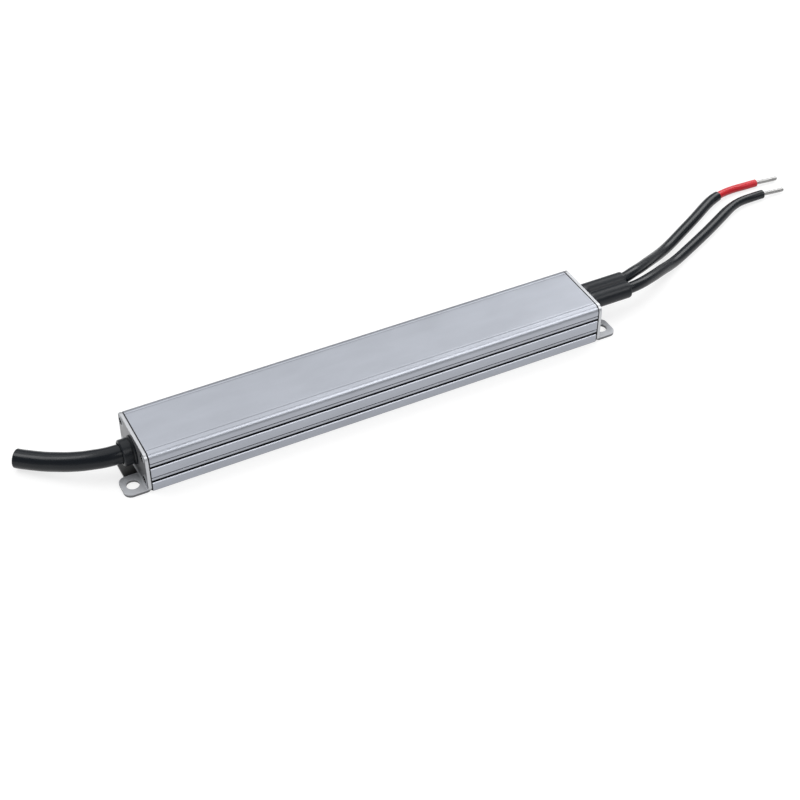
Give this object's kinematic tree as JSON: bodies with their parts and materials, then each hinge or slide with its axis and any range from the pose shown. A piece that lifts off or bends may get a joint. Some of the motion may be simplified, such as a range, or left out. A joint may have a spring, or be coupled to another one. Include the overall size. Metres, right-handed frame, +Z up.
{
  "type": "led_driver",
  "caption": "Slim LED driver in a grooved aluminium extrusion with folded end plates, holed mounting ears, a mains cable in a rubber gland and a pair of bare-ended output wires",
  "frame": {"origin": "middle of the housing's base, on the mounting surface", "axes": "X along the housing towards the output wires, Y to the back away from the ears, Z up from the base"},
  "size_m": [0.3792, 0.0662, 0.018],
  "materials": {
    "anodised_aluminium": "satin clear anodised, faint drawing lines along the length",
    "plate_aluminium": "satin rolled sheet, bright sheared edges",
    "gasket_rubber": "matte black foam rubber",
    "screw_steel": "bright zinc plated",
    "gland_rubber": "satin black moulded rubber",
    "cable_sheath": "semi-gloss black flexible sheath",
    "core_brown": "smooth brown insulation",
    "core_blue": "smooth blue insulation",
    "core_green": "smooth green and yellow insulation",
    "red_insulation": "smooth red insulation",
    "black_insulation": "smooth black insulation",
    "tinned_copper": "twisted strands dipped in solder",
    "board_laminate": "green solder mask on glass laminate",
    "liner_film": "translucent polyester film",
    "pad_silicone": "matte gap filler",
    "ceramic_white": "glazed ceramic with nickel caps",
    "coated_blue": "dipped epoxy coat",
    "moulded_yellow": "moulded case with potting",
    "moulded_black": "matte moulding compound",
    "ferrite": "ground dark ferrite",
    "copper_wire": "enamelled copper wire",
    "can_sleeve": "shrunk film over an aluminium can"
  },
  "bodies": {
    "root": {"housing_extrusion": "anodised_aluminium", "input_end_plate": "plate_aluminium", "output_end_plate": "plate_aluminium", "input_gasket": "gasket_rubber", "output_gasket": "gasket_rubber", "input_plate_screws": "screw_steel", "output_plate_screws": "screw_steel", "input_gland": "gland_rubber", "input_cable": "cable_sheath", "line_core": "core_brown", "neutral_core": "core_blue", "earth_core": "core_green", "output_sleeve": "gland_rubber", "positive_wire": "cable_sheath", "negative_wire": "cable_sheath", "positive_insulation": "red_insulation", "negative_insulation": "black_insulation", "positive_conductor": "tinned_copper", "negative_conductor": "tinned_copper", "positive_board_lead": "red_insulation", "negative_board_lead": "black_insulation", "circuit_board": "board_laminate", "insulating_sheet": "liner_film", "thermal_pads": "pad_silicone", "fuse": "ceramic_white", "varistor": "coated_blue", "x_capacitor": "moulded_yellow", "choke_core": "ferrite", "choke_windings": "copper_wire", "bridge_rectifier": "moulded_black", "bulk_capacitors": "can_sleeve", "switching_transistor": "moulded_black", "controller_chip": "moulded_black", "transformer_core": "ferrite", "transformer_bobbin": "moulded_black", "transformer_winding": "copper_wire", "optocoupler": "moulded_black", "y_capacitor": "coated_blue", "output_rectifier": "moulded_black", "inductor_core": "ferrite", "inductor_winding": "copper_wire", "output_capacitors": "can_sleeve"}
  },
  "joints": []
}
